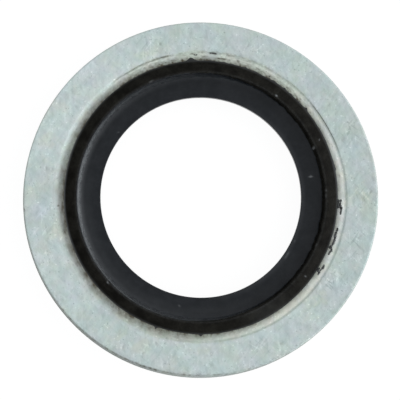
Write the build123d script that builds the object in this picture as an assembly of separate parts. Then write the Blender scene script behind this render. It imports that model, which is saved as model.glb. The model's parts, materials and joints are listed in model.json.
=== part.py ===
from build123d import *
import math
import os

# Self-centring bonded seal ring for a drain plug, in millimetres.
# It lies flat, with +Z along its axis. The origin is on the surface that the lower
# sealing ridge rests on, under the centre of the steel rim.

# Widths across the ring, from the rubber lip's bore out to the steel rim
lip_bore_diameter = 12.45
bore_to_crest = 1.51
crest_to_steel = 0.715
steel_band_width = 2.55

# Steel washer
washer_thickness = 2.0
rim_front_radius = 0.08
rim_back_break = 0.05

# The punched hole sits slightly off the centre of the rim, and the rubber follows the hole
hole_offset = 0.12

# Land pressed into both faces beside the hole by the edge of the rubber mould
land_width = 0.6
land_step_width = 0.12
land_depth = 0.05
land_depth_at_hole = 0.01

# Rubber
lip_thickness = 0.7
lip_edge_break = 0.06
ridge_height = 0.4
ridge_crest_width = 0.1
ridge_inner_draft = 9.0
ridge_root_radius = 0.42

# Margin by which a cutting shape runs past the faces that it cuts
cut_margin = 1.0

lip_bore_radius = lip_bore_diameter / 2
crest_radius = lip_bore_radius + bore_to_crest
hole_radius = crest_radius + crest_to_steel
land_radius = hole_radius + land_width
rim_radius = hole_radius + steel_band_width
half_washer = washer_thickness / 2
half_lip = lip_thickness / 2
mid_height = half_washer + ridge_height
hole_axis = Pos(0, hole_offset, mid_height)


def spin(section):
    """Ring made by turning a section, drawn as radius and height, about the Z axis."""
    return revolve(Plane.XZ * section, Axis.Z)


def hole_and_lands():
    """Shape that cuts the hole and the two lands, each land rising towards the hole."""
    outside = half_washer + cut_margin
    land_floor_radius = land_radius - land_step_width
    upper = [
        (0, outside),
        (land_radius, outside),
        (land_radius, half_washer),
        (land_floor_radius, half_washer - land_depth),
        (hole_radius, half_washer - land_depth_at_hole),
    ]
    lower = [(radius, -height) for radius, height in reversed(upper)]
    return spin(make_face(Polyline(*upper, *lower, close=True)))


def steel_washer():
    """Stamped ring: die roll on the front edge of the rim, sheared edge at the back."""
    blank = Pos(0, 0, mid_height) * Cylinder(rim_radius, washer_thickness)
    rim_edges = blank.edges().filter_by(GeomType.CIRCLE).sort_by(Axis.Z)
    blank = chamfer(rim_edges.first, rim_back_break)
    front_edge = blank.edges().filter_by(GeomType.CIRCLE).sort_by(Axis.Z).last
    blank = fillet(front_edge, rim_front_radius)
    return blank - hole_axis * hole_and_lands()


def rubber_seal():
    """Moulded ring: a sealing ridge on each face and a thin lip at mid height."""
    # Inner wall of the ridge: it leans outwards as it rises from the lip to the crest
    crest_inner = crest_radius - ridge_crest_width / 2
    crest_outer = crest_radius + ridge_crest_width / 2
    wall_lean = (mid_height - half_lip) * math.tan(math.radians(ridge_inner_draft))
    wall_foot = crest_inner - wall_lean

    upper = [
        (lip_bore_radius, half_lip - lip_edge_break),
        (lip_bore_radius + lip_edge_break, half_lip),
        (wall_foot, half_lip),
        (crest_inner, mid_height),
        (crest_outer, mid_height),
        (hole_radius, half_washer - land_depth_at_hole),
    ]
    lower = [(radius, -height) for radius, height in reversed(upper)]
    section = make_face(Polyline(*upper, *lower, close=True))

    # Concave root where each ridge rises from the lip
    roots = section.vertices().sort_by_distance((wall_foot, 0))[:2]
    section = fillet(roots, ridge_root_radius)
    return hole_axis * spin(section)


os.makedirs("parts", exist_ok=True)
export_step(steel_washer(), "parts/steel_washer.step")
export_step(rubber_seal(), "parts/rubber_seal.step")
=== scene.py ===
import json
import math

import bpy
import numpy as np
from mathutils import Matrix, Vector


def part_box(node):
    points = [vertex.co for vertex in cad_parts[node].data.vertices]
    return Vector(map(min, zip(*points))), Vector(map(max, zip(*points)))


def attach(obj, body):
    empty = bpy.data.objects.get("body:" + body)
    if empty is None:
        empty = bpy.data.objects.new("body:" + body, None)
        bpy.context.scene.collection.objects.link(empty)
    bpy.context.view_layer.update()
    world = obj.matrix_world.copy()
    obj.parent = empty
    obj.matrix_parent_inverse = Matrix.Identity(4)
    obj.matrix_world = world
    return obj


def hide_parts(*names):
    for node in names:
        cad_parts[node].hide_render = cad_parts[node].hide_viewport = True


# Drain plug seal ring: a zinc plated steel washer with black rubber bonded in its bore.
# Lengths are in millimetres and angles in degrees, counted from +X towards +Y.
# Rings and marks are placed by angle and radius about the axis of the punched hole.
# Side 1 is the front face, on top, whose rim edge is rounded. Side -1 is the back face.

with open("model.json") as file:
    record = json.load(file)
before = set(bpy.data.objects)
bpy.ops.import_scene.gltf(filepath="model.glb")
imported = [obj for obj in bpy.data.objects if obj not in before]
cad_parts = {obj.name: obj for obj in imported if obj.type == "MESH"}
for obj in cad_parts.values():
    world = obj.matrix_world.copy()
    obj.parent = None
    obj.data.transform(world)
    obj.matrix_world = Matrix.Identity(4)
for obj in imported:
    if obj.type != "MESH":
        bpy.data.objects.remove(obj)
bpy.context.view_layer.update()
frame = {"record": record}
MM = 0.001

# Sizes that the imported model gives
mounts = {mount["name"]: mount for mount in frame["record"]["mounts"]}
washer_low, washer_high = (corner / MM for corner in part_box("steel_washer"))
rubber_low, rubber_high = (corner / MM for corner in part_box("rubber_seal"))
hole_centre = np.array(mounts["lip_bore"]["pos_m"][:2]) / MM
rim_centre = np.zeros(2)
rim_radius = washer_high.x
hole_radius = (rubber_high.x - rubber_low.x) / 2
lip_bore_radius = mounts["lip_bore"]["dims"]["r_mm"]
front_face = washer_high.z
back_face = washer_low.z
crest_height = rubber_high.z
mid_height = crest_height / 2
half_height = crest_height - mid_height

# Sizes of the section that the box does not give
bore_to_crest = 1.51
crest_width = 0.1
crest_round = 0.025
lip_thickness = 0.7
lip_edge_round = 0.06
land_width = 0.6
land_step_width = 0.2
land_depth = 0.05
land_depth_at_hole = 0.01
rim_front_round = 0.08
rim_back_break = 0.05
inner_draft = 9.0
root_radius = 0.42

# The lip's bore sits slightly off the hole's axis
bore_shift = (0.025, 0.043)

bore_centre = hole_centre + bore_shift
crest_radius = lip_bore_radius + bore_to_crest
land_radius = hole_radius + land_width
half_lip = lip_thickness / 2
face_level = {1: front_face, -1: back_face}
flat_radius = {1: rim_radius - rim_front_round, -1: rim_radius - rim_back_break}

# Camera: how far it stands from the ring, how far it leans from the ring's axis and to which
# side, the point on the front face that it looks at, the width that it sees there, and the
# nearest and furthest that it shows
CAMERA_DISTANCE = 700
CAMERA_TILT = 4.2
CAMERA_HEADING = 243
CAMERA_TARGET = (-0.052, -0.042)
FRAME_WIDTH = 24.785
CAMERA_CLIP = (10, 10000)

# Studio dome: a broad soft light low on the right that fades over the top to a dark left.
# Each stop is an angle from the middle of the light, and the dome's brightness there.
DOME_AZIMUTH = -4.0
DOME_ELEVATION = 3.0
DOME_STOPS = [
    (0, 3.1),
    (21, 2.55),
    (40, 1.9),
    (56, 1.39),
    (75, 1.02),
    (90, 0.85),
    (118, 0.78),
    (148, 0.68),
    (170, 0.14),
]
DOME_TINT = (0.97, 1.0, 1.03)

# Floor: half its width, the colour that takes light and shadow, and the glow that makes it
# white, with its share
FLOOR_HALF = 150
FLOOR_COLOUR = (0.8, 0.8, 0.8, 1)
FLOOR_GLOW = 1.05
FLOOR_GLOW_SHARE = 0.90

SEGMENTS = 960
turn = np.linspace(0, 360, SEGMENTS, endpoint=False)
turn_cos = np.cos(np.radians(turn))
turn_sin = np.sin(np.radians(turn))


# Lines that vary round the ring

def distance_from(middle):
    """Signed angle of each segment from a middle angle."""
    return (turn - middle + 180) % 360 - 180


def hump(value, middle, half_width):
    """Rounded peak of height one where the value is at its middle."""
    return np.exp(-((value - middle) / half_width) ** 2)


def bump_at(middle, half_width):
    """Rounded peak of height one at an angle."""
    return hump(distance_from(middle), 0, half_width)


def rise(value, start, width):
    """Rises smoothly from zero, where the value is at its start, to one a width further on."""
    share = np.clip((value - start) / width, 0, 1)
    return share * share * (3 - 2 * share)


def between(first, last, fade):
    """One from the first angle round to the last, zero elsewhere, with soft ends."""
    half = (last - first) % 360 / 2
    return rise(half + fade / 2 - np.abs(distance_from(first + half)), 0, fade)


def profile(base, stretches=(), peaks=()):
    """Line with a base value that changes by stretches and by peaks.

    A stretch is first angle, last angle, fade, amount. A peak is middle, half width, amount.
    """
    line = np.full(SEGMENTS, float(base))
    for first, last, fade, amount in stretches:
        line += amount * between(first, last, fade)
    for middle, half_width, amount in peaks:
        line += amount * bump_at(middle, half_width)
    return line


def waver(seed, slowest, fastest):
    """Closed wavering line from -1 to 1, with waves from slowest to fastest per turn."""
    chance = np.random.default_rng(seed)
    waves = np.arange(slowest, fastest + 1)
    phases = chance.uniform(0, 2 * math.pi, waves.size)
    sizes = chance.uniform(0.4, 1, waves.size) / np.sqrt(waves)
    angles = waves[:, None] * np.radians(turn) + phases[:, None]
    line = (sizes[:, None] * np.sin(angles)).sum(axis=0)
    return line / np.abs(line).max()


def along_turn(line, angle):
    """Value at any angle of a line given at the segments."""
    return np.interp(angle, np.append(turn, 360), np.append(line, line[0]))


# Meshes turned from rings of points

HARD_EDGE_ANGLE = 40


def steps(first, last, count):
    """Evenly spaced values from first to last, without the last."""
    return np.linspace(first, last, count, endpoint=False)


def ring(radius, height, centre):
    """One ring of points. Radius and height may vary round the ring."""
    points = np.empty((SEGMENTS, 3))
    points[:, 0] = centre[0] + radius * turn_cos
    points[:, 1] = centre[1] + radius * turn_sin
    points[:, 2] = height
    return points


def closed_band(rings):
    """Points and four-sided faces, facing out, of rings that run round a closed section."""
    count = len(rings)
    column = np.arange(SEGMENTS)
    following = (column + 1) % SEGMENTS
    faces = []
    for row in range(count):
        here = row * SEGMENTS
        there = (row + 1) % count * SEGMENTS
        quads = [here + column, there + column, there + following, here + following]
        faces.extend(np.stack(quads, axis=1).tolist())
    return np.concatenate(rings), faces


def make_piece(name, points, faces):
    """Smooth shaded piece whose hard edges stay."""
    mesh = bpy.data.meshes.new(name)
    mesh.from_pydata((points * MM).tolist(), [], faces)
    mesh.update()
    mesh.shade_smooth()
    mesh.set_sharp_from_angle(angle=math.radians(HARD_EDGE_ANGLE))
    piece = bpy.data.objects.new(name, mesh)
    bpy.context.scene.collection.objects.link(piece)
    return piece


# Amounts painted on the points of a mesh

def paint(piece, name, amounts):
    """Stores one amount per point of a mesh, for its material to read."""
    layer = piece.data.attributes.new(name, "FLOAT", "POINT")
    layer.data.foreach_set("value", np.clip(amounts, 0, 1).astype(np.float32))


def spots(points, marks):
    """Sum of long marks at each point. A mark is angle, radius, length, width, lie, height."""
    field = np.zeros(len(points))
    for angle, radius, length, width, lie, height in marks:
        mark_x = hole_centre[0] + radius * math.cos(math.radians(angle))
        mark_y = hole_centre[1] + radius * math.sin(math.radians(angle))
        lie_x, lie_y = math.cos(math.radians(lie)), math.sin(math.radians(lie))
        off_x, off_y = points[:, 0] - mark_x, points[:, 1] - mark_y
        lengthwise = (off_x * lie_x + off_y * lie_y) / length
        across = (off_y * lie_x - off_x * lie_y) / width
        field += height * np.exp(-lengthwise ** 2 - across ** 2)
    return field


def polar(points):
    """Radius of each point about the hole axis, and its angle."""
    off = points[:, :2] - hole_centre
    return np.hypot(off[:, 0], off[:, 1]), np.degrees(np.arctan2(off[:, 1], off[:, 0])) % 360


def polar_noise(points, seed, cells_round, cell_width, start=hole_radius):
    """Smooth random field from 0 to 1, in cells laid round the hole axis from a radius out."""
    radius, angle = polar(points)
    rows = 16
    grid = np.random.default_rng(seed).uniform(0, 1, (rows + 1, cells_round))
    across = np.clip((radius - start) / cell_width, 0, rows - 0.001)
    round_turn = angle / 360 * cells_round
    row, column = across.astype(int), round_turn.astype(int) % cells_round
    following = (column + 1) % cells_round
    part = rise(round_turn % 1, 0, 1)
    inner = grid[row, column] * (1 - part) + grid[row, following] * part
    outer = grid[row + 1, column] * (1 - part) + grid[row + 1, following] * part
    part = rise(across % 1, 0, 1)
    return inner * (1 - part) + outer * part


# Steel washer

# Dents (height below zero) and raised specks in the front face
FACE_MARKS = [
    (105.0, 9.87, 0.09, 0.07, 85, -0.030),
    (169.5, 9.77, 0.16, 0.06, 90, -0.018),
    (169.4, 9.39, 0.12, 0.06, 80, -0.012),
    (298.6, 10.30, 0.12, 0.08, 145, -0.018),
    (273.3, 10.42, 0.14, 0.08, 6, -0.016),
    (133.1, 10.16, 0.14, 0.07, 157, -0.016),
    (242.5, 10.47, 0.12, 0.08, 75, -0.016),
    (249.5, 10.31, 0.11, 0.06, 8, -0.016),
    (273.6, 9.74, 0.15, 0.10, 99, -0.015),
    (36.3, 9.81, 0.12, 0.11, 21, -0.014),
    (252.8, 9.46, 0.14, 0.09, 113, -0.014),
    (2.0, 10.51, 0.11, 0.07, 59, -0.013),
    (346.2, 10.11, 0.16, 0.08, 47, -0.013),
    (140.7, 10.34, 0.16, 0.10, 131, -0.013),
    (72.7, 9.91, 0.15, 0.07, 61, -0.012),
    (144.3, 9.54, 0.15, 0.07, 113, -0.012),
    (22.6, 9.50, 0.15, 0.12, 99, -0.012),
    (263.8, 9.28, 0.09, 0.06, 109, 0.020),
    (314.2, 10.10, 0.10, 0.08, 9, 0.012),
    (142.9, 10.25, 0.13, 0.07, 103, 0.012),
    (158.3, 10.20, 0.10, 0.07, 97, 0.011),
    (216.6, 10.58, 0.12, 0.06, 117, 0.011),
    (195.5, 9.77, 0.14, 0.12, 68, 0.011),
    (324.9, 9.58, 0.12, 0.11, 68, 0.010),
    (137.3, 10.03, 0.20, 0.08, 121, 0.009),
    (232.8, 8.62, 0.06, 0.06, 0, 0.020),
]

# Factor on the heights of these marks
FACE_MARK_GAIN = 1.6

# Dark specks of rubber smeared on the land and just outside it
LAND_SMEARS = [
    (85.2, 8.98, 0.24, 0.05, 172, 0.65),
    (81.5, 8.72, 0.30, 0.05, 171, 0.6),
    (88.6, 8.76, 0.14, 0.05, 178, 0.4),
    (93.5, 8.94, 0.12, 0.045, 5, 0.45),
    (89.5, 8.99, 0.06, 0.05, 0, 0.5),
    (78.5, 8.98, 0.16, 0.05, 165, 0.4),
    (75.0, 8.80, 0.10, 0.08, 165, 0.35),
    (71.0, 8.95, 0.12, 0.05, 160, 0.3),
    (66.0, 8.76, 0.12, 0.05, 156, 0.4),
    (60.5, 8.70, 0.12, 0.06, 150, 0.5),
    (57.0, 8.86, 0.10, 0.06, 146, 0.35),
    (52.0, 8.70, 0.10, 0.06, 140, 0.5),
    (47.0, 8.66, 0.12, 0.05, 135, 0.4),
    (41.0, 8.80, 0.10, 0.06, 130, 0.3),
    (9.0, 8.70, 0.10, 0.04, 100, 0.3),
    (183.5, 8.87, 0.06, 0.05, 20, 0.5),
    (187.0, 9.18, 0.05, 0.05, 0, 0.4),
    (184.5, 8.62, 0.20, 0.05, 95, 0.2),
    (194.8, 8.68, 0.20, 0.06, 108, 0.18),
]

# Scratches and spots on the front face, dark ones above zero and pale ones below
FACE_SCRATCHES = [
    (359.6, 10.08, 0.55, 0.055, 131, 0.20),
    (0.9, 10.19, 0.50, 0.05, 131, -0.80),
    (3.3, 9.72, 0.22, 0.06, 128, 0.16),
    (1.5, 9.62, 0.16, 0.06, 40, -0.30),
    (2.0, 10.55, 0.10, 0.08, 60, 0.18),
    (359.0, 9.52, 0.10, 0.09, 90, 0.12),
    (3.6, 9.30, 0.25, 0.05, 10, 0.06),
    (339.4, 9.33, 0.22, 0.04, 139, 0.14),
    (340.3, 9.40, 0.20, 0.04, 139, -0.35),
    (88.0, 10.15, 0.30, 0.06, 96, 0.11),
    (93.5, 10.25, 0.35, 0.06, 80, 0.12),
    (97.0, 10.30, 0.30, 0.06, 100, -0.40),
    (84.0, 10.20, 0.35, 0.07, 92, 0.09),
    (101.0, 10.05, 0.25, 0.06, 66, 0.10),
    (269.0, 10.00, 0.50, 0.05, 90, -0.35),
    (271.5, 9.90, 0.35, 0.05, 92, 0.08),
    (232.0, 10.00, 0.35, 0.06, 62, 0.09),
    (207.0, 10.20, 0.30, 0.06, 20, 0.09),
]

# Faint stains in the plate, yellowish above zero and bluish below
PLATE_STAINS = [
    (1.6, 9.85, 0.95, 0.55, 100, 0.95),
    (14.0, 9.45, 0.80, 0.40, 104, 0.40),
    (111.5, 9.45, 0.80, 0.45, 20, 0.75),
    (192.0, 9.30, 0.70, 0.35, 95, 0.50),
    (177.0, 10.60, 0.50, 0.30, 90, 0.40),
    (160.0, 10.30, 0.60, 0.50, 70, 0.30),
    (317.0, 9.75, 0.90, 0.80, 50, 0.80),
    (243.0, 9.70, 1.30, 0.70, 150, 0.45),
    (270.0, 9.40, 0.90, 0.30, 0, 0.35),
    (17.8, 10.10, 0.60, 0.35, 100, -0.55),
    (186.0, 9.80, 0.60, 0.40, 95, -0.60),
    (76.0, 9.90, 0.70, 0.50, 10, -0.45),
    (340.0, 10.00, 0.70, 0.40, 70, -0.45),
    (215.0, 10.00, 0.80, 0.50, 120, -0.35),
    (135.0, 9.70, 0.70, 0.40, 45, -0.35),
]

# Areas of the front face that carry fine scratches
SCRATCHED_AREAS = [
    (2.0, 9.80, 0.90, 0.60, 60, 0.5),
    (24.0, 10.10, 0.70, 0.40, 110, 0.9),
    (344.0, 10.00, 0.80, 0.50, 70, 0.8),
    (326.0, 9.70, 0.70, 0.50, 50, 0.7),
    (70.0, 9.80, 0.50, 0.40, 0, 0.5),
    (110.0, 9.90, 0.60, 0.50, 30, 0.5),
    (190.0, 9.90, 0.60, 0.40, 90, 0.6),
    (290.0, 9.90, 0.70, 0.50, 20, 0.5),
    (250.0, 9.90, 0.50, 0.40, 140, 0.4),
]

# Where each land was pressed softly, so that its step is hardly clear
SOFT_LAND = {1: 1 - between(258, 128, 14), -1: between(200, 20, 30)}
SOFT_STEP_WIDENING = 0.14
SOFT_STEP_SHIFT = 0.13

# Where the mould's edge cut a crease into the step. Its place and width are shares of the step.
CREASED_LAND = {
    1: profile(0, [(20, 40, 8, 1.0), (40, 64, 10, 0.15), (102, 127, 5, 0.9)]),
    -1: between(60, 90, 20),
}
CREASE_DEPTH = 0.022
CREASE_PLACE = 0.75
CREASE_WIDTH = 0.15

# How far the land's outer edge strays from its radius, and how rough its floor is
LAND_EDGE_SHIFT = profile(-0.03, [(290, 20, 40, 0.04)], [(355, 18, 0.03), (80, 28, 0.07)])
LAND_EDGE_WAVER = 0.018
LAND_ROUGHNESS = 0.004
LAND_SEED = {1: 11, -1: 21}

# Random fields over the steel: seed, cells round the ring, width of a cell
LAND_GRAIN = (17, 260, 0.09)
STREAKS = (18, 150, 0.055)
SPECKS = (19, 420, 0.06)
MOTTLE = (23, 520, 0.07)
RIM_SPECKS = (24, 640, 0.06)
RUBBING = (25, 420, 0.08)

# Rings on the land's floor, on its step, and on the flat outside it
LAND_FLOOR_RINGS = {1: 18, -1: 5}
LAND_STEP_RINGS = {1: 10, -1: 4}
FLAT_RINGS = {1: 32, -1: 6}

# Nick in the rim's front edge, and height at which the sheared band of the rim's wall gives way
# to the broken one
RIM_NICK = 0.09 * bump_at(183.6, 0.55)
BROKEN_LINE = back_face + 1.05 + 0.12 * waver(31, 2, 30)

# Rings on the rim's rolled edge, sheared band, broken band and back edge
ROLL_RINGS, SHEARED_RINGS, BROKEN_RINGS, BREAK_RINGS = 7, 4, 11, 3

# How far in the broken band stands, how rough it is, and how far in the back edge starts
BROKEN_INSET = 0.012
BROKEN_WAVER = 0.010
BREAK_INSET = 0.02


def land_outer(side):
    """Radius of the outer edge of one land."""
    return land_radius + LAND_EDGE_SHIFT + LAND_EDGE_WAVER * waver(LAND_SEED[side], 3, 40)


def land_rings(side):
    """Rings of one land, from the hole out to the top of its step, and the step's outer radius."""
    level, soft = face_level[side], SOFT_LAND[side]
    step_width = land_step_width + SOFT_STEP_WIDENING * soft
    floor_radius = land_outer(side) + SOFT_STEP_SHIFT * soft - step_width
    floor_depth = land_depth + LAND_ROUGHNESS * waver(LAND_SEED[side] + 1, 4, 30)
    crease = CREASE_DEPTH * CREASED_LAND[side]
    rings = []
    for share in steps(0, 1, LAND_FLOOR_RINGS[side]):
        radius = hole_radius + share * (floor_radius - hole_radius)
        depth = land_depth_at_hole + share * (floor_depth - land_depth_at_hole)
        floor = ring(radius, level - side * depth, hole_centre)
        floor[:, 2] -= side * LAND_ROUGHNESS * polar_noise(floor, *LAND_GRAIN)
        rings.append(floor)
    for share in steps(0, 1, LAND_STEP_RINGS[side]):
        radius = floor_radius + share * step_width
        fall = (1 - soft) * (1 - share ** 2) + soft * (1 - rise(share, 0, 1))
        cut = crease * hump(share, CREASE_PLACE, CREASE_WIDTH)
        rings.append(ring(radius, level - side * (floor_depth * fall + cut), hole_centre))
    return rings, floor_radius + step_width


def face_rings(side):
    """Rings of one face, from the hole to the outer edge of its flat."""
    rings, outer = land_rings(side)
    for share in steps(0, 1, FLAT_RINGS[side]):
        centre = hole_centre * (1 - share) + rim_centre * share
        radius = outer * (1 - share) + flat_radius[side] * share
        rings.append(ring(radius, face_level[side], centre))
    if side > 0:
        for points in rings:
            points[:, 2] += FACE_MARK_GAIN * spots(points, FACE_MARKS)
    return rings


def rim_rings():
    """Rings down the outer wall: rolled front edge, sheared band, rough broken band, back edge."""
    rings = []
    for angle in np.radians(steps(90, 0, ROLL_RINGS)):
        radius = rim_radius - rim_front_round * (1 - math.cos(angle))
        height = front_face - rim_front_round * (1 - math.sin(angle))
        rings.append(ring(radius - RIM_NICK * math.cos(angle), height, rim_centre))
    top = front_face - rim_front_round
    for share in steps(0, 1, SHEARED_RINGS):
        height = top + share * (BROKEN_LINE - top)
        rings.append(ring(rim_radius - RIM_NICK * (1 - share), height, rim_centre))
    low = back_face + rim_back_break
    for row, share in enumerate(steps(0, 1, BROKEN_RINGS)):
        height = BROKEN_LINE + share * (low - BROKEN_LINE)
        rough = BROKEN_INSET + BROKEN_WAVER * waver(40 + row, 30, 240) + BREAK_INSET * share
        radius = rim_radius - rough * rise(share, 0, 1 / 6)
        rings.append(ring(radius, height, rim_centre))
    for share in steps(0, 1, BREAK_RINGS):
        radius = rim_radius - BREAK_INSET - share * (rim_back_break - BREAK_INSET)
        rings.append(ring(radius, low - share * rim_back_break, rim_centre))
    return rings


# Dark film beside the rubber, with the ridge's painted shadow on the left, where it reaches further
# and is stronger: how far it reaches over the land, how strong it is, and its patches, blots and
# mottling there
FILM_AND_SHADOW_REACH = profile(0.44, [(125, 265, 40, 0.18), (165, 265, 30, 0.16)]) + 0.05 * waver(15, 8, 90)
FILM_AND_SHADOW_STRENGTH = profile(0.78, [(60, 260, 60, 0.14)], [(270, 16, 0.10)])
SOIL_PATCHES = profile(0, [(70, 122, 20, 0.24), (200, 290, 30, 0.05)])
SOIL_BLOTS = profile(0, [(30, 110, 30, 0.45)])
SOIL_MOTTLE = profile(0.05, [(40, 126, 20, 0.30), (225, 305, 40, 0.12)])

# Painted shade line in the land's step, where it is clear and where it is creased, and a darker
# grey round it
CLEAR_STEP_SHADE = 0.02
CREASED_STEP_SHADE = 0.4
STEP_LINE_PLACE = -0.28 * land_step_width
STEP_LINE_WIDTH = 0.065
STEP_DARKENING = profile(0, [(30, 100, 20, 0.07)])

# Share of the film that the back face gets, and how much darker a dent gets for each mm of its
# depth
BACK_SOIL = 0.6
DENT_DARKENING = 12

# Painted shade on the rim's rolled edge, all round and darkest at the low left, how far it reaches
# in, the grey of the sheared wall, partly painted shade of that unlit wall, and grit
ROLL_SHADE = profile(0.12, [(300, 60, 60, 0.16)], [(0, 24, 0.12), (243, 34, 0.42)])
ROLL_SHADE *= 1 + 0.5 * waver(35, 60, 300)
ROLL_SHADE_REACH = profile(rim_front_round, [], [(250, 34, 0.07), (274, 18, 0.04)])
SHEARED_GREY_AND_SHADE = profile(0.52, [], [(272, 18, -0.10)]) + 0.10 * waver(33, 40, 300)
BROKEN_GREY = 0.12
RIM_GRIT = profile(0, [(205, 330, 30, 0.24)])

# How much the mould's edge burnished the front land, with a painted highlight where it is strongest
# on the right, and the painted highlight on the brow just outside its step
LAND_RUBBED_AND_HIGHLIGHT = profile(0.25, [(290, 40, 50, 0.75), (92, 150, 16, 0.12)])
BROW_HIGHLIGHT = profile(0.15, [(150, 200, 30, 0.10), (20, 95, 20, -0.15)])

# Broad brightness painted round the plate, 0.5 at its mean: paler on the left, a little darker on
# the right
PLATE_BRIGHTNESS_ROUND = profile(
    0.5,
    [(112, 172, 24, 0.40), (188, 228, 24, 0.28), (250, 308, 20, 0.10), (322, 50, 24, -0.15)],
)

# Yellowish cast of the land, and the scratches that the whole face has
LAND_WARMTH = profile(0.12, [(232, 312, 30, 0.38), (30, 128, 20, 0.30)])
SCRATCHED_EVERYWHERE = 0.25


def washer_film_and_shade(points):
    """Dark film and painted shade on the steel: film beside the rubber with the ridge's painted
    shadow on the left, painted shade in the step and its creases, darkening in the dents, smears,
    dark scratches and the rim's painted shade.
    """
    radius, angle = polar(points)
    front = points[:, 2] > mid_height
    from_hole = radius - hole_radius
    from_land = radius - along_turn(land_outer(1), angle)
    streaks = polar_noise(points, *STREAKS)
    specks = polar_noise(points, *SPECKS)

    # Film beside the rubber; where it reaches further and stronger on the left it is the ridge's
    # painted shadow
    fade = np.clip(1 - from_hole / along_turn(FILM_AND_SHADOW_REACH, angle), 0, 1)
    amount = along_turn(FILM_AND_SHADOW_STRENGTH, angle) * fade * (0.90 + 0.14 * streaks + 0.08 * specks)
    patches = along_turn(SOIL_PATCHES, angle) * streaks * (1 - rise(from_land, 0, 0.08))
    amount = np.maximum(amount, patches)
    blots = rise(specks, 0.62, 0.25) * np.clip(1 - from_hole / 0.42, 0, 1)
    amount += along_turn(SOIL_BLOTS, angle) * blots
    on_land = rise(from_hole, 0, 0.1) * (1 - rise(from_land, 0, 0.25))
    mottle = polar_noise(points, *MOTTLE) - 0.5
    amount += along_turn(SOIL_MOTTLE, angle) * on_land * mottle

    # Painted shade line along the land's step and in its crease, and a darker grey along the step
    clear = CLEAR_STEP_SHADE * (1 - along_turn(SOFT_LAND[1], angle))
    creased = np.where(front, CREASED_STEP_SHADE * along_turn(CREASED_LAND[1], angle), 0)
    amount += (clear + creased) * hump(from_land, STEP_LINE_PLACE, STEP_LINE_WIDTH)
    amount += along_turn(STEP_DARKENING, angle) * hump(from_land, 0, 0.1)
    amount = np.where(front, amount, BACK_SOIL * amount) + rim_shade_and_grit(points)

    dents = [mark for mark in FACE_MARKS if mark[-1] < 0]
    scratches = [mark for mark in FACE_SCRATCHES if mark[-1] > 0]
    marks = spots(points, LAND_SMEARS) + spots(points, scratches) - DENT_DARKENING * spots(points, dents)
    return amount + np.where(front, marks, 0)


def rim_shade_and_grit(points):
    """Painted shade on the rim's rolled edge, grit there, and the greyer sheared wall below it,
    partly painted shade.
    """
    from_rim = np.hypot(points[:, 0], points[:, 1]) - rim_radius
    angle = polar(points)[1]
    reach = along_turn(ROLL_SHADE_REACH, angle)
    # Painted shade on the rolled edge, darkest at the low left
    roll = along_turn(ROLL_SHADE, angle) * rise(from_rim, -reach, rim_front_round)
    grit = rise(polar_noise(points, *RIM_SPECKS, start=rim_radius - 0.5), 0.66, 0.2)
    grit = grit * rise(from_rim, -0.4, 0.3) * along_turn(RIM_GRIT, angle)
    on_edge = front_face - points[:, 2] < rim_front_round
    broken = rise(along_turn(BROKEN_LINE, angle) - points[:, 2], 0, 0.1)
    wall = (along_turn(SHEARED_GREY_AND_SHADE, angle) + BROKEN_GREY * broken) * rim_dull(points)
    return np.maximum((roll + grit) * on_edge, wall)


def rim_dull(points):
    """One on the sheared wall of the rim, which is rougher than the faces."""
    from_rim = np.hypot(points[:, 0], points[:, 1]) - rim_radius
    drop = front_face - points[:, 2]
    return rise(drop, 0.2 * rim_front_round, 0.06) * (from_rim > -0.12)


def washer_worn_and_highlight(points):
    """Burnished steel on the front land, partly painted highlight, the painted highlight on its
    brow, and pale scratches.
    """
    radius, angle = polar(points)
    from_land = radius - along_turn(land_outer(1), angle)
    on_land = rise(radius, hole_radius, 0.2) * (1 - rise(from_land, -0.16, 0.1))
    # Burnish on the land, painted highlight where it is strong on the right, and painted highlight
    # on the brow
    rubbed = along_turn(LAND_RUBBED_AND_HIGHLIGHT, angle) * (0.8 + 0.4 * polar_noise(points, *RUBBING))
    on_brow = rise(from_land, -0.04, 0.1) * (1 - rise(from_land, 0.12, 0.3))
    brow = along_turn(BROW_HIGHLIGHT, angle) * on_brow
    scratches = [mark for mark in FACE_SCRATCHES if mark[-1] < 0]
    worn = rubbed * on_land + brow - spots(points, scratches)
    return np.where(points[:, 2] > mid_height, worn, 0)


def washer_stain(points):
    """Hue of the plate, 0.5 at its mean: the rubbed land is warmer than the face."""
    radius, angle = polar(points)
    on_land = 1 - rise(radius - along_turn(land_outer(1), angle), -0.05, 0.15)
    hue = 0.4 * spots(points, PLATE_STAINS) + along_turn(LAND_WARMTH, angle) * on_land
    return 0.5 + np.where(points[:, 2] > mid_height, hue, 0)


def washer_scratched(points):
    """How thickly fine scratches lie on the steel."""
    areas = np.where(points[:, 2] > mid_height, spots(points, SCRATCHED_AREAS), 0)
    return SCRATCHED_EVERYWHERE + areas


def make_washer():
    points, faces = closed_band(face_rings(1) + rim_rings() + face_rings(-1)[::-1])
    piece = make_piece("washer_plate", points, faces)
    paint(piece, "soil", washer_film_and_shade(points))
    paint(piece, "worn", washer_worn_and_highlight(points))
    paint(piece, "stain", washer_stain(points))
    # Broad brightness painted round the plate
    paint(piece, "pale", along_turn(PLATE_BRIGHTNESS_ROUND, polar(points)[1]))
    paint(piece, "scratched", washer_scratched(points))
    paint(piece, "dull", rim_dull(points))
    return piece


# Rubber seal

# Teeth of the thin film at the rubber's edge: angle, half width, reach
FILM_TEETH = [
    (12.0, 0.5, 0.06),
    (40.2, 0.7, 0.12),
    (52.5, 0.6, 0.07),
    (58.0, 0.9, 0.06),
    (71.0, 0.8, 0.06),
    (94.0, 1.6, 0.20),
    (251.0, 0.5, 0.16),
    (270.0, 0.6, 0.15),
    (356.0, 0.5, 0.08),
]

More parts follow.
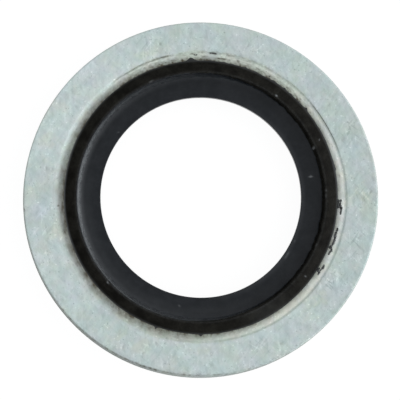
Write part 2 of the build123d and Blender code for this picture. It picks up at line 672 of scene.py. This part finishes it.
# Film of rubber on the land: its reach from the hole on each side, and its ragged stretch
FILM_THICKNESS = 0.012
FILM_REACH = {1: 0.050 + 0.02 * waver(51, 4, 40), -1: 0.05 + 0.03 * waver(61, 5, 60)}
FILM_RAGGED = between(5, 100, 10) * (0.02 + 0.05 * np.clip(waver(52, 20, 150), 0, 1))

# Threads of flash that lie on the land, as X and Y from the hole axis
FLASH_THREADS = [
    [(8.707, -0.105), (8.657, -0.346), (8.669, -0.538), (8.713, -0.687), (8.688, -0.872),
     (8.657, -1.045)],
    [(8.56, -0.10), (8.535, -0.30), (8.55, -0.46), (8.53, -0.62)],
    [(8.49, -0.33), (8.57, -0.38), (8.66, -0.42)],
    [(8.47, -0.60), (8.55, -0.57), (8.67, -0.55)],
    [(8.502, -1.862), (8.434, -2.085), (8.342, -2.314), (8.311, -2.561), (8.224, -2.815),
     (8.125, -2.988), (8.05, -3.08), (8.119, -3.241), (7.989, -3.396), (7.915, -3.551)],
    [(7.90, -3.06), (7.98, -3.08), (8.06, -3.06)],
    [(7.649, -4.151), (7.581, -4.349), (7.445, -4.479), (7.358, -4.602), (7.259, -4.807)],
    [(7.37, -4.36), (7.28, -4.46), (7.26, -4.57), (7.36, -4.60)],
    [(0.98, 8.90), (0.85, 8.95), (0.62, 8.97), (0.55, 8.95)],
    [(-0.22, 8.86), (-0.34, 8.85), (-0.44, 8.87)],
    [(4.30, 7.48), (4.22, 7.54)],
]

# Half thickness of the threads of flash on the right, whose X is over the limit, and of the others
THREAD_SIZE_RIGHT = 0.062
THREAD_SIZE_TOP = 0.035
THREADS_RIGHT_OF = 7
THREAD_SIDES = 8

# Least and greatest factor on a thread's size, and amount of dust on it
THREAD_LUMPS = (0.45, 1.45)
THREAD_DUST = (0.02, 0.5)

# Dust and lint on the rubber: angle, radius, length, width, lie, amount
RUBBER_DUST = [
    (11.1, 6.97, 0.11, 0.035, 0, 0.85),
    (11.6, 7.00, 0.05, 0.03, 130, 0.5),
    (3.1, 7.76, 0.06, 0.05, 90, 0.16),
    (0.7, 7.74, 0.11, 0.05, 90, 0.12),
    (337.5, 7.74, 0.12, 0.04, 68, 0.10),
    (327.4, 6.44, 0.12, 0.03, 61, 0.5),
    (325.4, 6.44, 0.12, 0.03, 58, 0.4),
    (258.9, 6.82, 0.07, 0.04, 142, 0.3),
    (335.5, 6.44, 0.10, 0.03, 68, 0.25),
    (141.3, 6.52, 0.07, 0.04, 15, 0.18),
    (222.7, 7.85, 0.07, 0.03, 131, 1.0),
    (53.4, 7.85, 0.07, 0.04, 144, 0.85),
    (322.9, 8.12, 0.06, 0.04, 142, 0.45),
    (26.0, 8.17, 0.05, 0.03, 70, 0.45),
    (23.8, 7.64, 0.07, 0.045, 115, 0.7),
    (113.4, 7.81, 0.14, 0.04, 33, 0.25),
]

# Low bead round the bore, on each face of the lip
BEAD_HEIGHT = 0.02
BEAD_WIDTH = 0.24

# Draft of the ridge's inner wall and radius of its root, both smaller on the right
WALL_DRAFT = np.radians(inner_draft - 5 * bump_at(30, 70))
ROOT = root_radius * (1 - 0.36 * between(280, 100, 70))

# Nicks in the front crest, outward shift of both crests, and the rougher stretch of the ridges
CREST_NICKS = 0.09 * bump_at(222.6, 0.45) + 0.03 * bump_at(53.4, 0.4)
CREST_SHIFT = 0.05 * bump_at(65, 25)
ROUGH_RIDGE = 0.036 * between(290, 110, 40)

# Power by which the outer slope falls from crest to steel
OUTER_SLOPE_POWER = 1.45

# Rings on the lip's face, root, inner wall and outer slope of each side
RUBBER_RINGS = {1: (16, 10, 7, 14), -1: (6, 6, 4, 6)}
RUBBER_SEED = {1: 71, -1: 91}

# Share of the root up to which the rubber is as glossy as the lip
GLOSSY_ROOT_SHARE = 0.65

# Radii of the painted highlight on the front: foot and top of the ridge's wall, its brink, and the
# lip's face
WALL_HIGHLIGHT_FOOT, WALL_HIGHLIGHT_TOP = 7.38, 7.635
BRINK_HIGHLIGHT_RADIUS = 7.58
LIP_HIGHLIGHT_START, LIP_HIGHLIGHT_END = 6.6, 7.5

# Amount painted pale round the ring: painted highlight, with some dust, on the wall, its brink, the
# crest, and the lip's edge and face, brightest on the left wall and the bore's right edge; dust on
# the outer slope and that slope's foot. The wall's painted highlight reaches higher at the low
# left.
WALL_HIGHLIGHT = profile(0, [(105, 285, 50, 0.18)], [(180, 34, 0.62), (90, 20, 0.06), (134, 16, -0.07)])
WALL_HIGHLIGHT *= 1 + 0.16 * waver(37, 12, 70)
BRINK_HIGHLIGHT = 0.10 * bump_at(134, 18)
EDGE_HIGHLIGHT = 0.055 * between(290, 60, 50)
LIP_HIGHLIGHT = 0.04 * between(178, 290, 40)
CREST_HIGHLIGHT = 0.035
SLOPE_DUST = 0.035 * bump_at(300, 9)
FOOT_DUST = profile(0.13, [], [(180, 26, 0.28), (0, 22, 0.14)])
LOW_LEFT = bump_at(228, 28)


def rubber_highlight_and_dust(points):
    """Pale paint on the front of the rubber: painted highlight, with some dust, on the ridge's
    inner wall, brink and crest and on the lip; dust on the outer slope and its foot.
    """
    radius, angle = polar(points)
    chance = np.random.default_rng(8)
    grains = 0.5 + 1.5 * chance.uniform(0, 1, len(points)) ** 2
    # Painted highlight on the wall, crest, brink, bore's edge and lip's face; dust on the slope and
    # its foot
    low_left = along_turn(LOW_LEFT, angle)
    top = WALL_HIGHLIGHT_TOP + 0.045 * low_left
    wall = rise(radius, WALL_HIGHLIGHT_FOOT, 0.25) * (1 - rise(radius, top, 0.06))
    wall = wall * along_turn(WALL_HIGHLIGHT, angle)
    crest = CREST_HIGHLIGHT * hump(radius, crest_radius + 0.05, 0.06) * (1 + low_left)
    brink = along_turn(BRINK_HIGHLIGHT, angle) * hump(radius, BRINK_HIGHLIGHT_RADIUS, 0.035)
    edge = along_turn(EDGE_HIGHLIGHT, angle) * (1 - rise(radius, lip_bore_radius + 0.05, 0.34))
    on_lip = rise(radius, LIP_HIGHLIGHT_START, 0.5) * (radius < LIP_HIGHLIGHT_END)
    lip = along_turn(LIP_HIGHLIGHT, angle) * on_lip
    slope = along_turn(SLOPE_DUST, angle) * (radius > crest_radius)
    foot = along_turn(FOOT_DUST, angle) * rise(radius, hole_radius - 0.09, 0.16)
    return grains * (wall + crest + brink) + edge + lip + slope + foot


def film_edge(side):
    """How far the thin film of rubber runs out over the land from the edge of the hole."""
    if side < 0:
        return FILM_REACH[side]
    return FILM_REACH[side] + FILM_RAGGED + profile(0, [], FILM_TEETH)


def bead_height(radius):
    """Rise of the lip's face, in the bead round the bore, above its lowest level."""
    from_bore = radius - lip_bore_radius - lip_edge_round
    return BEAD_HEIGHT * np.clip(1 - from_bore / BEAD_WIDTH, 0, 1) ** 2


def rubber_side(side):
    """Rings of one side of the rubber from bore to steel, and the rows of its root and crest."""
    seed = RUBBER_SEED[side]
    lip_count, root_count, wall_count, outer_count = RUBBER_RINGS[side]
    crest_inner = crest_radius - crest_width / 2
    crest_outer = crest_radius + crest_width / 2
    wall_at_root = crest_inner - (half_height - half_lip - ROOT) * np.tan(WALL_DRAFT)
    root_centre = wall_at_root - ROOT / np.cos(WALL_DRAFT)
    wobble = 0.010 * waver(seed, 2, 60) + 0.006 * waver(seed + 1, 40, 200)
    wobble = wobble + ROUGH_RIDGE * waver(seed + 3, 25, 130) + CREST_SHIFT
    nicks = CREST_NICKS if side > 0 else 0.0
    rings = []

    def add(radius, height, centre=hole_centre):
        rings.append(ring(radius, mid_height + side * height, centre))

    for angle in np.radians(steps(180, 90, 4)):
        add(
            lip_bore_radius + lip_edge_round * (1 + math.cos(angle)),
            half_lip - lip_edge_round * (1 - math.sin(angle)),
            bore_centre,
        )
    lip_level = half_lip - BEAD_HEIGHT
    lip_start = lip_bore_radius + lip_edge_round
    for share in steps(0, 1, lip_count):
        radius = lip_start + share * (root_centre - lip_start)
        sway = 0.003 * waver(seed + 2, 2, 9) * math.sin(math.pi * share)
        centre = bore_centre * (1 - share) + hole_centre * share
        add(radius, lip_level + bead_height(radius) + sway, centre)
    root_base = lip_level + bead_height(root_centre)
    for share in steps(0, 1, root_count):
        if share < GLOSSY_ROOT_SHARE:
            root_row = len(rings)
        angle = -math.pi / 2 + share * (math.pi / 2 - WALL_DRAFT)
        add(root_centre + (ROOT + wobble) * np.cos(angle), root_base + ROOT * (1 + np.sin(angle)))
    foot_radius = root_centre + ROOT * np.cos(WALL_DRAFT)
    foot_height = root_base + ROOT * (1 - np.sin(WALL_DRAFT))
    wall_top = half_height - crest_round
    for share in steps(0, 1, wall_count):
        add(
            foot_radius + share * (crest_inner - foot_radius) + wobble,
            foot_height + share * (wall_top - foot_height) - nicks * share,
        )
    for angle in np.radians(steps(180, 90, 3)):
        add(
            crest_inner + crest_round * (1 + math.cos(angle)) + wobble,
            wall_top + crest_round * math.sin(angle) - nicks,
        )
    crest_row = len(rings)
    add(crest_radius + wobble, half_height - nicks)
    steel_height = front_face - land_depth_at_hole - mid_height
    for share in steps(0, 1, outer_count):
        fall = (half_height - steel_height - FILM_THICKNESS) * share ** OUTER_SLOPE_POWER
        add(
            crest_outer + share * (hole_radius - crest_outer) + wobble * (1 - share),
            half_height - fall - nicks * (1 - share),
        )
    film = film_edge(side)
    slope = (land_depth - land_depth_at_hole) / (land_radius - land_step_width - hole_radius)
    for share in (0.0, 0.5, 0.9):
        height = steel_height + FILM_THICKNESS * (1 - share ** 4)
        add(hole_radius + film * share, height - slope * film * share)
    add(hole_radius + film, steel_height - 0.01 - slope * film)
    add(hole_radius, steel_height - 0.03)
    return rings, root_row, crest_row


def smooth_path(knots, count):
    """Points along a smooth line through the knots, with a count of them for each run."""
    knots = [np.array(knot, dtype=float) for knot in knots]
    padded = [2 * knots[0] - knots[1]] + knots + [2 * knots[-1] - knots[-2]]
    path = []
    for before, first, last, after in zip(padded, padded[1:], padded[2:], padded[3:]):
        bend = 2 * before - 5 * first + 4 * last - after
        twist = 3 * first - before - 3 * last + after
        for share in steps(0, 1, count):
            straight = 2 * first + (last - before) * share
            path.append(0.5 * (straight + bend * share ** 2 + twist * share ** 3))
    return path + [knots[-1]]


def thread_mesh(knots, thickness, first_index, chance):
    """Points and faces of a lumpy thread of flash that lies on the land."""
    sides = THREAD_SIDES
    path = smooth_path(knots, 5)
    points, faces = [], []
    for index, place in enumerate(path):
        ahead = path[min(index + 1, len(path) - 1)] - path[max(index - 1, 0)]
        across = np.array([-ahead[1], ahead[0]]) / np.hypot(*ahead)
        end = min(index, len(path) - 1 - index)
        taper = min(1, 0.4 + 0.3 * end)
        size = thickness * taper * chance.uniform(*THREAD_LUMPS)
        for corner in range(sides):
            angle = 2 * math.pi * corner / sides
            spread = across * size * math.cos(angle)
            height = front_face - land_depth / 2 + size * (0.35 + 0.75 * math.sin(angle))
            points.append((*(hole_centre + place + spread), height))
    for index in range(len(path) - 1):
        for corner in range(sides):
            here, beside = index * sides + corner, index * sides + (corner + 1) % sides
            quad = (here, beside, beside + sides, here + sides)
            faces.append([first_index + at for at in quad])
    last = first_index + (len(path) - 1) * sides
    faces.append([first_index + corner for corner in reversed(range(sides))])
    faces.append([last + corner for corner in range(sides)])
    return points, faces


def make_rubber():
    front, root_row, crest_row = rubber_side(1)
    back, _, back_crest_row = rubber_side(-1)
    points, faces = closed_band(front + back[::-1])
    ring_count = len(front) + len(back)
    ring_points = len(points)
    chance = np.random.default_rng(5)
    for knots in FLASH_THREADS:
        thickness = THREAD_SIZE_RIGHT if knots[0][0] > THREADS_RIGHT_OF else THREAD_SIZE_TOP
        more_points, more_faces = thread_mesh(knots, thickness, len(points), chance)
        points = np.concatenate([points, more_points])
        faces.extend(more_faces)
    piece = make_piece("rubber_ring", points, faces)

    # Dust and lint specks, and the painted highlight on the ridge's wall, crest and brink and on
    # the lip
    dust = spots(points, RUBBER_DUST) + rubber_highlight_and_dust(points)
    lumps = chance.uniform(*THREAD_DUST, (len(points) - ring_points) // THREAD_SIDES)
    dust[ring_points:] = np.repeat(lumps, THREAD_SIDES)
    paint(piece, "dust", np.where(points[:, 2] > mid_height + half_lip / 2, dust, 0))

    # The lip is glossier than the ridge. On the left and on the back, gloss reaches the crest.
    piece.data.materials.append(ridge_rubber())
    piece.data.materials.append(lip_rubber())
    row, column = np.divmod(np.arange(len(faces)), SEGMENTS)
    smooth_until = crest_row - (crest_row - root_row) * between(285, 75, 60)
    on_back_lip = (row >= ring_count - back_crest_row) & (row < ring_count)
    on_lip = (row < smooth_until[column]) | on_back_lip
    piece.data.polygons.foreach_set("material_index", on_lip.astype(np.int32))
    return piece


# Materials, with linear colours

ZINC_PLAIN = (0.506, 0.572, 0.553, 1)
# Paler zinc of burnished places and of painted highlights
ZINC_WORN_AND_HIGHLIGHT = (0.656, 0.682, 0.655, 1)
ZINC_BLUE_CAST = (0.988, 0.990, 1.054, 1)
ZINC_YELLOW_CAST = (1.028, 1.010, 0.925, 1)
ZINC_GREEN_CAST = (0.973, 1.011, 0.994, 1)
ZINC_PINK_CAST = (1.028, 0.989, 1.005, 1)
# Brown-black of the dark film and of the painted shade on the steel
FILM_AND_SHADE_BROWN = (0.070, 0.060, 0.040, 1)
# Pale grey of dust, and of the painted highlight on the rubber
DUST_AND_HIGHLIGHT_GREY = (0.23, 0.24, 0.245, 1)
LIP_BLACK = (0.0008, 0.0024, 0.0046, 1)
LIP_BLOOM = (0.0080, 0.0098, 0.0126, 1)
RIDGE_BLACK = (0.0034, 0.0030, 0.0022, 1)
RIDGE_BLOOM = (0.0128, 0.0120, 0.0096, 1)

# Spread of a noise about its middle, from nearly its lowest to nearly its highest value
SPREAD = (0.3, 0.7)

# Fine strokes of three lies on the zinc: the angle at which they lie, and the noise's scale
STROKES = [(52, 6.0), (140, 5.0), (96, 4.5)]


def new_material(name):
    material = bpy.data.materials.new(name)
    material.use_nodes = True
    tree = material.node_tree
    return material, tree, tree.nodes["Principled BSDF"]


def join(tree, kind, inputs, **settings):
    """Adds a node. Each input is a number, a colour or another node's output."""
    node = tree.nodes.new("ShaderNode" + kind)
    for name, value in settings.items():
        setattr(node, name, value)
    for socket, value in inputs.items():
        if isinstance(value, bpy.types.NodeSocket):
            tree.links.new(value, node.inputs[socket])
        else:
            node.inputs[socket].default_value = value
    return node


def calculate(tree, operation, first, second):
    return join(tree, "Math", {0: first, 1: second}, operation=operation).outputs[0]


def multiply(tree, first, second):
    return calculate(tree, "MULTIPLY", first, second)


def rescale(tree, value, span, new_span):
    """Maps a value from one span to another with soft ends."""
    inputs = {
        "Value": value,
        "From Min": span[0],
        "From Max": span[1],
        "To Min": new_span[0],
        "To Max": new_span[1],
    }
    return join(tree, "MapRange", inputs, interpolation_type="SMOOTHSTEP").outputs[0]


def blend(tree, share, first, second, mode="MIX"):
    inputs = {0: share, 6: first, 7: second}
    return join(tree, "Mix", inputs, data_type="RGBA", blend_type=mode).outputs[2]


def fade_in(tree, share, factor):
    """A factor where the share is one, and no change where it is zero."""
    return join(tree, "Mix", {0: share, 2: 1.0, 3: factor}, data_type="FLOAT").outputs[0]


def painted(tree, name):
    """Amount that is painted on the mesh's points."""
    return join(tree, "Attribute", {}, attribute_name=name).outputs["Fac"]


def millimetres(tree, stretch=(1, 1, 1), lie=0.0):
    """Position on the piece in millimetres, turned and stretched for a grain that lies one way."""
    place = join(tree, "TexCoord", {}).outputs["Object"]
    inputs = {"Vector": place, "Angle": math.radians(-lie)}
    turned = join(tree, "VectorRotate", inputs, rotation_type="Z_AXIS").outputs[0]
    scale = tuple(1000 * part for part in stretch)
    return join(tree, "VectorMath", {0: turned, 1: scale}, operation="MULTIPLY").outputs[0]


def noise(tree, place, scale, detail, roughness=0.5):
    inputs = {"Vector": place, "Scale": scale, "Detail": detail, "Roughness": roughness}
    return join(tree, "TexNoise", inputs).outputs["Fac"]


def flecks(tree, field, start, width, depth):
    """Sparse pale and dark marks where a noise strays far from its mean, as a factor."""
    pale = rescale(tree, field, (0.5 + start, 0.5 + start + width), (1.0, 1.0 + depth))
    dark = rescale(tree, field, (0.5 - start, 0.5 - start - width), (1.0, 1.0 - depth))
    return multiply(tree, pale, dark)


def zinc():
    """Satin zinc plate: cool mottled grey with a faint rolled grain, dark film by the rubber,
    painted shade and painted highlights.
    """
    material, tree, shader = new_material("zinc_plate")
    plain = millimetres(tree)
    rolled = millimetres(tree, stretch=(0.6, 1, 1), lie=98)
    grain = noise(tree, rolled, scale=3.6, detail=3, roughness=0.55)
    cloud = noise(tree, plain, scale=0.8, detail=4, roughness=0.6)
    patch = noise(tree, plain, scale=1.2, detail=2)
    crystal = noise(tree, plain, scale=7.0, detail=2)
    hue = noise(tree, plain, scale=1.0, detail=4, roughness=0.7)

    # Colour: burnished places and painted highlights, then greenish and pinkish, yellowish and
    # bluish casts
    colour = blend(tree, painted(tree, "worn"), ZINC_PLAIN, ZINC_WORN_AND_HIGHLIGHT)
    cast = rescale(tree, hue, (0.34, 0.66), (0, 1))
    cast = blend(tree, cast, ZINC_GREEN_CAST, ZINC_PINK_CAST)
    colour = blend(tree, 1.0, colour, cast, "MULTIPLY")
    tint = rescale(tree, cloud, (0.36, 0.64), (-0.24, 0.24))
    tint = calculate(tree, "ADD", painted(tree, "stain"), tint)
    yellow = rescale(tree, tint, (0.5, 1.0), (0, 1))
    colour = blend(tree, yellow, colour, ZINC_YELLOW_CAST, "MULTIPLY")
    blue = rescale(tree, tint, (0.5, 0.0), (0, 1))
    colour = blend(tree, blue, colour, ZINC_BLUE_CAST, "MULTIPLY")

    # Tone: grain, patches, the plate's painted broad brightness, crystals and strokes
    tone = rescale(tree, grain, SPREAD, (0.945, 1.045))
    tone = multiply(tree, tone, rescale(tree, patch, SPREAD, (0.955, 1.045)))
    level = calculate(tree, "ADD", multiply(tree, painted(tree, "pale"), 0.2), 0.9)
    tone = multiply(tree, tone, level)
    sparkle = rescale(tree, patch, (0.42, 0.58), (0.2, 1.0))
    specks = flecks(tree, crystal, start=0.14, width=0.07, depth=0.28)
    tone = multiply(tree, tone, fade_in(tree, sparkle, specks))
    scratched = painted(tree, "scratched")
    for lie, scale in STROKES:
        drawn = millimetres(tree, stretch=(0.2, 1, 1), lie=lie)
        field = noise(tree, drawn, scale, detail=1)
        marks = flecks(tree, field, start=0.12, width=0.07, depth=0.20)
        tone = multiply(tree, tone, fade_in(tree, scratched, marks))
    red = calculate(tree, "POWER", tone, 1.1)
    shade = join(tree, "CombineColor", {0: red, 1: tone, 2: tone}).outputs[0]
    colour = blend(tree, 1.0, colour, shade, "MULTIPLY")

    # Dark film and painted shade on the steel
    film = multiply(tree, painted(tree, "soil"), rescale(tree, grain, SPREAD, (0.8, 1.2)))
    colour = blend(tree, film, colour, FILM_AND_SHADE_BROWN)
    tree.links.new(colour, shader.inputs["Base Color"])

    # The film, the painted shade and the sheared rim are less metallic, and the rim is rougher
    dull = painted(tree, "dull")
    metal = calculate(tree, "SUBTRACT", 1.0, multiply(tree, film, 0.3))
    metal = calculate(tree, "SUBTRACT", metal, multiply(tree, dull, 0.7))
    tree.links.new(metal, shader.inputs["Metallic"])
    rough = rescale(tree, grain, SPREAD, (0.40, 0.50))
    rough = calculate(tree, "ADD", rough, multiply(tree, dull, 0.45))
    tree.links.new(rough, shader.inputs["Roughness"])
    relief = calculate(tree, "ADD", grain, multiply(tree, crystal, 0.5))
    bump = join(tree, "Bump", {"Height": relief, "Strength": 0.25, "Distance": 0.02 * MM})
    tree.links.new(bump.outputs[0], shader.inputs["Normal"])
    return material


def rubber_material(name, colour, bloom_colour, roughness, shine, relief):
    """Moulded black rubber with a fine grain, faint bloom, specks of dust and painted highlight."""
    material, tree, shader = new_material(name)
    plain = millimetres(tree)
    fine = noise(tree, plain, scale=9.0, detail=3, roughness=0.6)
    cloud = noise(tree, plain, scale=1.4, detail=4, roughness=0.65)
    bloom = rescale(tree, cloud, (0.32, 0.68), (0, 1))
    bloom = multiply(tree, bloom, rescale(tree, fine, SPREAD, (0.5, 1)))
    tone = blend(tree, bloom, colour, bloom_colour)
    # Pale grey of dust and of the painted highlight
    tone = blend(tree, painted(tree, "dust"), tone, DUST_AND_HIGHLIGHT_GREY)
    tree.links.new(tone, shader.inputs["Base Color"])
    shader.inputs["Specular IOR Level"].default_value = shine
    rough = rescale(tree, fine, SPREAD, (roughness - 0.05, roughness + 0.07))
    tree.links.new(rough, shader.inputs["Roughness"])
    bump = join(tree, "Bump", {"Height": fine, "Strength": relief, "Distance": 0.01 * MM})
    tree.links.new(bump.outputs[0], shader.inputs["Normal"])
    return material


def lip_rubber():
    return rubber_material(
        "rubber_lip", LIP_BLACK, LIP_BLOOM, roughness=0.34, shine=0.255, relief=0.15
    )


def ridge_rubber():
    return rubber_material(
        "rubber_ridge", RIDGE_BLACK, RIDGE_BLOOM, roughness=0.5, shine=0.05, relief=0.3
    )


# Camera, floor and light

def make_camera():
    """Looks down on the ring from a little below and to the left of its axis, with +Y up."""
    tilt, heading = math.radians(CAMERA_TILT), math.radians(CAMERA_HEADING)
    distance = CAMERA_DISTANCE * MM
    aside = math.sin(tilt)
    back = Vector((aside * math.cos(heading), aside * math.sin(heading), math.cos(tilt)))
    right = Vector((0, 1, 0)).cross(back).normalized()
    up = back.cross(right)
    target = Vector((*CAMERA_TARGET, front_face)) * MM
    data = bpy.data.cameras.new("camera")
    data.angle = 2 * math.atan(FRAME_WIDTH / 2 / CAMERA_DISTANCE)
    data.clip_start, data.clip_end = (limit * MM for limit in CAMERA_CLIP)
    camera = bpy.data.objects.new("camera", data)
    turned = Matrix((right, up, back)).transposed().to_4x4()
    camera.matrix_world = Matrix.Translation(target + back * distance) @ turned
    bpy.context.scene.collection.objects.link(camera)
    bpy.context.scene.camera = camera


def make_floor():
    """White floor that keeps a faint shadow. Only the camera and reflections see its glow."""
    half = FLOOR_HALF * MM
    corners = [(-half, -half, 0), (half, -half, 0), (half, half, 0), (-half, half, 0)]
    mesh = bpy.data.meshes.new("floor")
    mesh.from_pydata(corners, [], [(0, 1, 2, 3)])
    floor = bpy.data.objects.new("floor", mesh)
    material, tree, _ = new_material("floor_white")
    tree.nodes.clear()
    ray = join(tree, "LightPath", {}).outputs
    seen = calculate(tree, "MAXIMUM", ray["Is Camera Ray"], ray["Is Glossy Ray"])
    seen = calculate(tree, "MAXIMUM", seen, ray["Is Transmission Ray"])
    share = multiply(tree, seen, FLOOR_GLOW_SHARE)
    diffuse = join(tree, "BsdfDiffuse", {"Color": FLOOR_COLOUR}).outputs[0]
    glow = join(tree, "Emission", {"Strength": FLOOR_GLOW}).outputs[0]
    mix = join(tree, "MixShader", {0: share, 1: diffuse, 2: glow}).outputs[0]
    join(tree, "OutputMaterial", {"Surface": mix})
    mesh.materials.append(material)
    bpy.context.scene.collection.objects.link(floor)


def make_world():
    """Soft studio dome: its brightness depends only on the angle from the middle of its light."""
    world = bpy.data.worlds.new("world")
    world.use_nodes = True
    tree = world.node_tree
    azimuth, elevation = math.radians(DOME_AZIMUTH), math.radians(DOME_ELEVATION)
    flat = math.cos(elevation)
    axis = (flat * math.cos(azimuth), flat * math.sin(azimuth), math.sin(elevation))
    where = join(tree, "TexCoord", {}).outputs["Generated"]
    facing = join(tree, "VectorMath", {0: where, 1: axis}, operation="DOT_PRODUCT")
    angle = calculate(tree, "ARCCOSINE", facing.outputs["Value"], 0.0)
    share = calculate(tree, "DIVIDE", angle, math.pi)
    ramp = join(tree, "ValToRGB", {"Fac": share})
    stops = ramp.color_ramp.elements
    while len(stops) < len(DOME_STOPS):
        stops.new(0.5)
    for stop, (degrees, brightness) in zip(stops, DOME_STOPS):
        stop.position = degrees / 180
        stop.color = (*(brightness * part for part in DOME_TINT), 1)
    tree.links.new(ramp.outputs["Color"], tree.nodes["Background"].inputs["Color"])
    bpy.context.scene.world = world


washer = make_washer()
washer.data.materials.append(zinc())
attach(washer, "root")
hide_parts("steel_washer")

rubber = make_rubber()
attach(rubber, "root")
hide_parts("rubber_seal")

make_camera()
make_floor()
make_world()
bpy.context.scene.view_settings.view_transform = "Standard"
